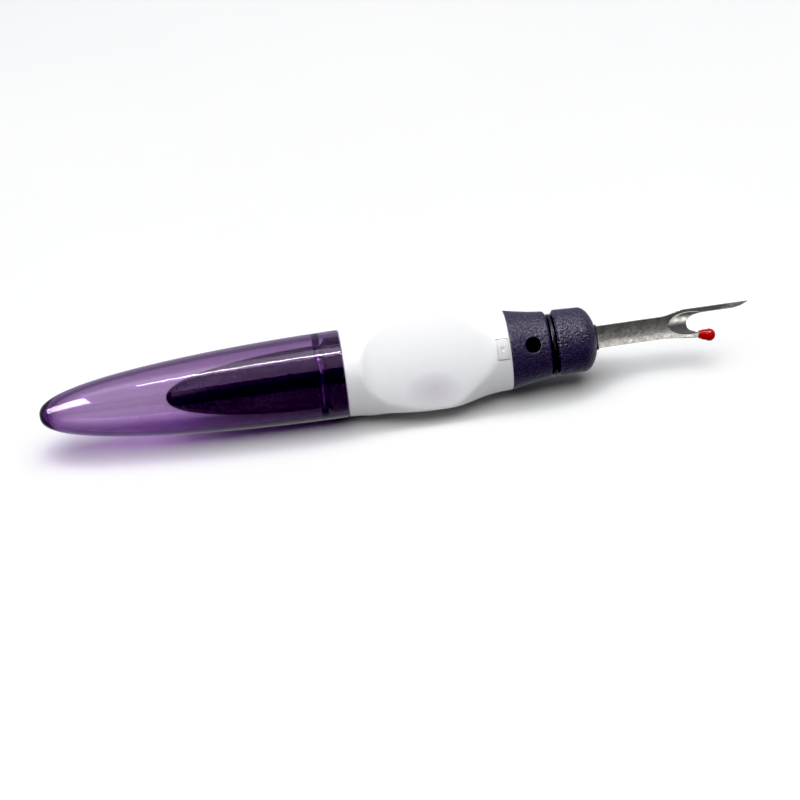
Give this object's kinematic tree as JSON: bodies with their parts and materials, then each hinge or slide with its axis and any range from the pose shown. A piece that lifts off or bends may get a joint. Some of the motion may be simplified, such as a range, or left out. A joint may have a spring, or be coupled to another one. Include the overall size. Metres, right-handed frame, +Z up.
{
  "type": "seam ripper",
  "caption": "Seam ripper with a forked steel blade and red bead, a three-faced soft grip and a clear violet cap posted on its tapered tail.",
  "frame": {"origin": "under the middle of the overall length, on the surface that the lower facet of the grip rests on", "axes": "+X along the handle towards the blade's point, +Z up as the tool lies on one facet of its grip, with a ridge on top"},
  "size_m": [0.16, 0.0224, 0.0228],
  "materials": {
    "clear_violet": "clear polished, violet tint",
    "dark_violet": "fine moulded grain, soft sheen",
    "white_grip": "smooth satin, slightly translucent",
    "badge": "semi-gloss",
    "black_ring": "moulded, slightly glossy",
    "steel": "tumbled, ground bevels",
    "red_bead": "dipped, glossy"
  },
  "bodies": {
    "handle": {"tail_plug": "dark_violet", "grip_core": "dark_violet", "grip_sleeve": "white_grip", "badge_plate": "badge", "front_ferrule": "dark_violet", "retaining_ring": "black_ring", "blade": "steel", "bead": "red_bead"},
    "cap": {"cap": "clear_violet"}
  },
  "joints": [
    {"name": "cap_slide", "type": "slide", "parent": "handle", "child": "cap", "axis": [-1, 0, 0], "range_m": [0, 0.045]}
  ]
}
